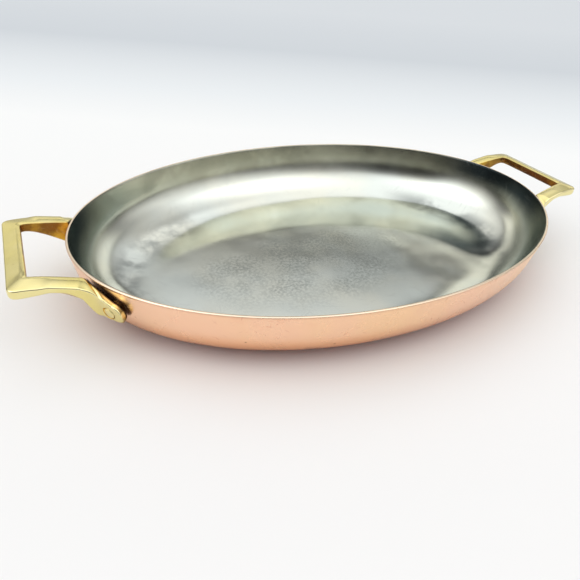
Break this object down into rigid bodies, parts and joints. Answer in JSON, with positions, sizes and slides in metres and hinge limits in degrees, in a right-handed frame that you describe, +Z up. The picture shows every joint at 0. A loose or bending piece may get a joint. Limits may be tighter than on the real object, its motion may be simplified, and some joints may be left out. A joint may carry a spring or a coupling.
{
  "type": "copper gratin pan",
  "caption": "Oval copper gratin pan with flared walls, a bonded steel lining and two riveted cast brass loop handles",
  "frame": {"origin": "centre of the flat base, on the surface that the pan stands on", "axes": "+X along the pan from the left handle to the right one, +Y to the back, +Z up through the open top"},
  "size_m": [0.361, 0.21, 0.0415],
  "materials": {
    "copper": "satin-polished copper, fine polishing scratches",
    "steel": "satin stainless steel, lightly worn by use",
    "brass": "polished cast brass, duller on the hidden sides",
    "stud_brass": "peened and polished flush"
  },
  "bodies": {
    "root": {"copper_shell": "copper", "steel_lining": "steel", "left_handle": "brass", "right_handle": "brass", "front_left_stud": "stud_brass", "back_left_stud": "stud_brass", "front_right_stud": "stud_brass", "back_right_stud": "stud_brass"}
  },
  "joints": []
}
